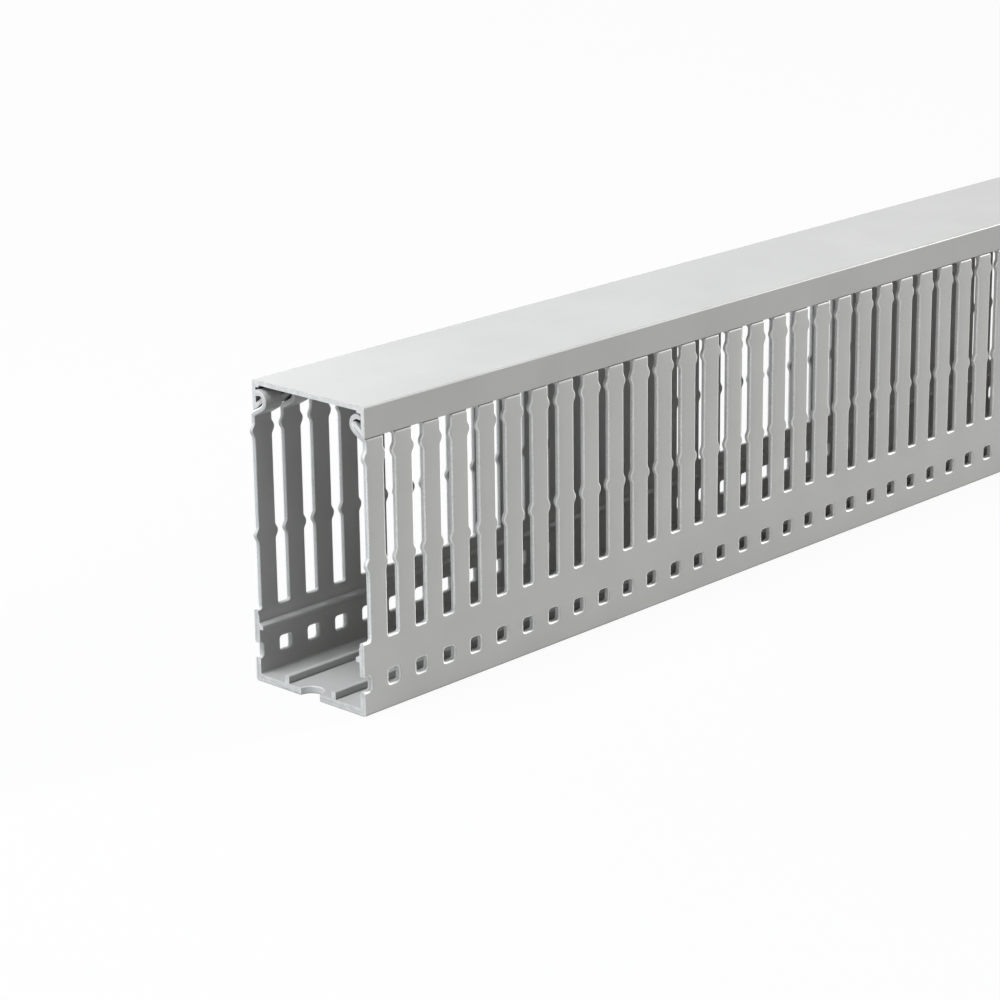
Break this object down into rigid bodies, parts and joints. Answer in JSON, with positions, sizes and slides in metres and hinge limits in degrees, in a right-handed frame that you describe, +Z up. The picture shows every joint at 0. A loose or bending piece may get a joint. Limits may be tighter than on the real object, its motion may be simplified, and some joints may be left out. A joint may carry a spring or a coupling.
{
  "type": "slotted wire duct",
  "caption": "Open-slot cable trunking: a U-shaped duct with two rows of hooked fingers, punched walls and base, and a clip-on lid.",
  "frame": {"origin": "middle of the underside of the base, at half the duct's length", "axes": "+X along the duct, towards the end where the lid stands out; +Y across it; +Z up, from the base to the lid"},
  "size_m": [1.0022, 0.0406, 0.0805],
  "materials": {
    "grey_pvc": "satin"
  },
  "bodies": {
    "duct": {"duct": "grey_pvc"},
    "lid": {"lid": "grey_pvc"}
  },
  "joints": [
    {"name": "lid_slide", "type": "slide", "parent": "duct", "child": "lid", "axis": [1, 0, 0], "range_m": [-0.95, 0.95]}
  ]
}
